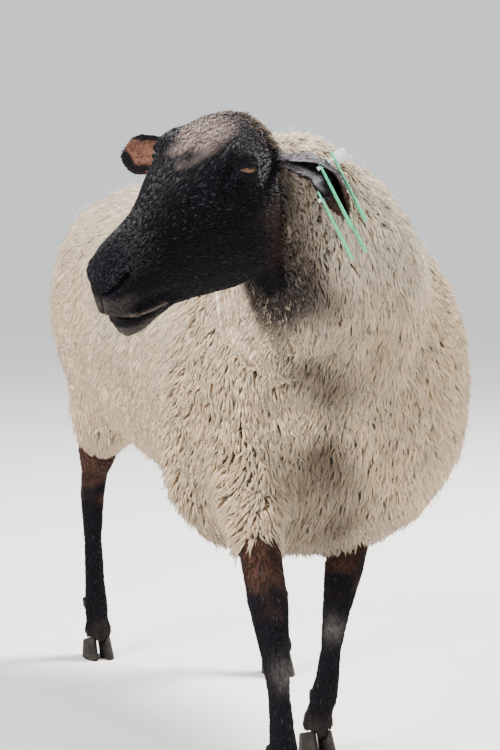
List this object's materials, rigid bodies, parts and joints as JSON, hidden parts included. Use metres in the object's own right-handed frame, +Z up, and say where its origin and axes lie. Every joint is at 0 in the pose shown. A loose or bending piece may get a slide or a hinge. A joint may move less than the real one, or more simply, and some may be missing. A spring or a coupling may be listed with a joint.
{
  "type": "standing sheep",
  "caption": "Life-size museum model of a black-faced sheep in full fleece, standing with its head turned to its right, with bare ear tags in its left ear.",
  "frame": {"origin": "on the floor under the middle of the whole sheep's bounding box", "axes": "+Z up, -Y the way the body faces, +X the sheep's left side"},
  "size_m": [0.628, 1.1712, 0.8687],
  "materials": {
    "fleece": "matt cream wool, curled and a little dirty",
    "black_hair": "short black hair with a soft sheen",
    "eye": "wet gloss, amber iris with a level slot pupil",
    "horn": "dark grey horn, dull and dusty",
    "tag_green": "green flexible plastic, satin and bare",
    "tag_grey": "pale grey plastic, satin"
  },
  "bodies": {
    "root": {"trunk_chest": "fleece", "trunk_barrel": "fleece", "trunk_rump": "fleece", "neck": "fleece", "tail": "fleece", "hindleg_left_thigh": "fleece", "hindleg_right_thigh": "fleece", "head": "black_hair", "lower_jaw": "black_hair", "ear_left": "black_hair", "ear_right": "black_hair", "foreleg_left_knee": "black_hair", "foreleg_left_cannon": "black_hair", "foreleg_left_pastern": "black_hair", "foreleg_right_knee": "black_hair", "foreleg_right_cannon": "black_hair", "foreleg_right_pastern": "black_hair", "hindleg_left_shank": "black_hair", "hindleg_left_cannon": "black_hair", "hindleg_left_pastern": "black_hair", "hindleg_right_shank": "black_hair", "hindleg_right_cannon": "black_hair", "hindleg_right_pastern": "black_hair", "eye_left": "eye", "eye_right": "eye", "foreleg_left_hoof_outer": "horn", "foreleg_left_hoof_inner": "horn", "foreleg_left_dewclaw_outer": "horn", "foreleg_left_dewclaw_inner": "horn", "foreleg_right_hoof_outer": "horn", "foreleg_right_hoof_inner": "horn", "foreleg_right_dewclaw_outer": "horn", "foreleg_right_dewclaw_inner": "horn", "hindleg_left_hoof_outer": "horn", "hindleg_left_hoof_inner": "horn", "hindleg_left_dewclaw_outer": "horn", "hindleg_left_dewclaw_inner": "horn", "hindleg_right_hoof_outer": "horn", "hindleg_right_hoof_inner": "horn", "hindleg_right_dewclaw_outer": "horn", "hindleg_right_dewclaw_inner": "horn", "tag_near_stud": "tag_grey", "tag_near_flag_front": "tag_green", "tag_near_flag_back": "tag_green", "tag_far_stud": "tag_grey", "tag_far_flag_front": "tag_green", "tag_far_flag_back": "tag_green"}
  },
  "joints": []
}
